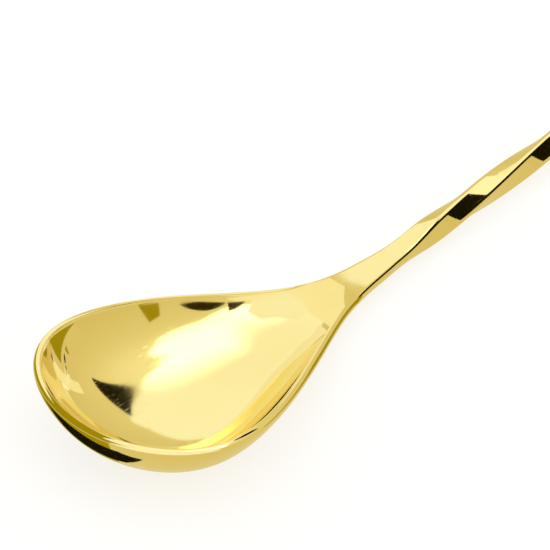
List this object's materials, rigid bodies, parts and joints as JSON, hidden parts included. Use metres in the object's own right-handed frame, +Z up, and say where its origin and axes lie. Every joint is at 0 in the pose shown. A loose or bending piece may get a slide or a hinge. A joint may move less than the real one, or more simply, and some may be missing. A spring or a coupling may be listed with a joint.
{
  "type": "bar spoon",
  "caption": "Bar spoon with a deep pear-shaped bowl, a square bar stem in a left-hand twist and a turned teardrop counterweight, for stirring and measuring drinks.",
  "frame": {"origin": "on the table, under the middle of the spoon's length, where it lies on its bowl and its counterweight", "axes": "+X from the bowl to the counterweight along the spoon, +Z up from the table out of the open bowl, +Y across"},
  "size_m": [0.3, 0.033, 0.012],
  "materials": {
    "bowl_gold": "mirror polished gold colour",
    "stem_gold": "mirror polished gold colour",
    "turned_gold": "polished gold colour with fine turning marks"
  },
  "bodies": {
    "root": {"bowl": "bowl_gold", "neck_braze": "stem_gold", "twisted_stem": "stem_gold", "collar": "turned_gold", "counterweight": "turned_gold"}
  },
  "joints": []
}
